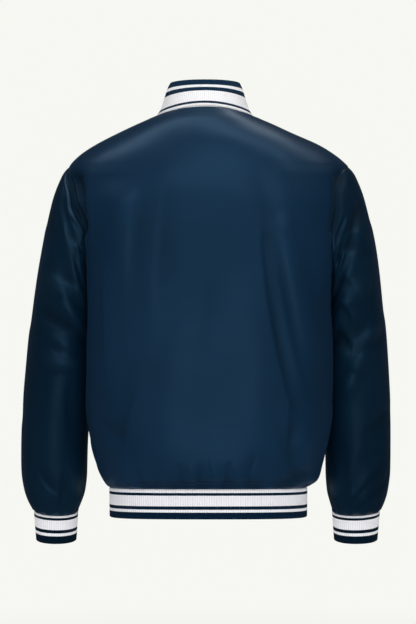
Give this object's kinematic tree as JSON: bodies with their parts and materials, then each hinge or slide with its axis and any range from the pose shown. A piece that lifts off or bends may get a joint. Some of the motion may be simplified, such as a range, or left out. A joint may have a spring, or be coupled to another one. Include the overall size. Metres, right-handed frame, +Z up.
{
  "type": "varsity jacket",
  "caption": "Satin varsity jacket filled out as worn, with a stand collar, hem band and cuffs in striped rib knit, and a snap front.",
  "frame": {"origin": "between the wearer's shoulders, midway between the ends of the shoulder seams at the neck", "axes": "+Z up the wearer's body, +X to the wearer's left, -Y to the front"},
  "size_m": [0.6357, 0.2822, 0.791],
  "materials": {
    "satin": "navy satin with a soft sheen",
    "rib_knit": "matt off-white rib knit with navy stripes",
    "snap_cap": "glossy enamelled cap"
  },
  "bodies": {
    "root": {"back": "satin", "front_left": "satin", "front_right": "satin", "sleeve_left": "satin", "sleeve_right": "satin", "collar": "rib_knit", "hem_band": "rib_knit", "cuff_left": "rib_knit", "cuff_right": "rib_knit", "snap_1": "snap_cap", "snap_2": "snap_cap", "snap_3": "snap_cap", "snap_4": "snap_cap", "snap_5": "snap_cap", "snap_6": "snap_cap", "snap_7": "snap_cap", "snap_8": "snap_cap"}
  },
  "joints": []
}
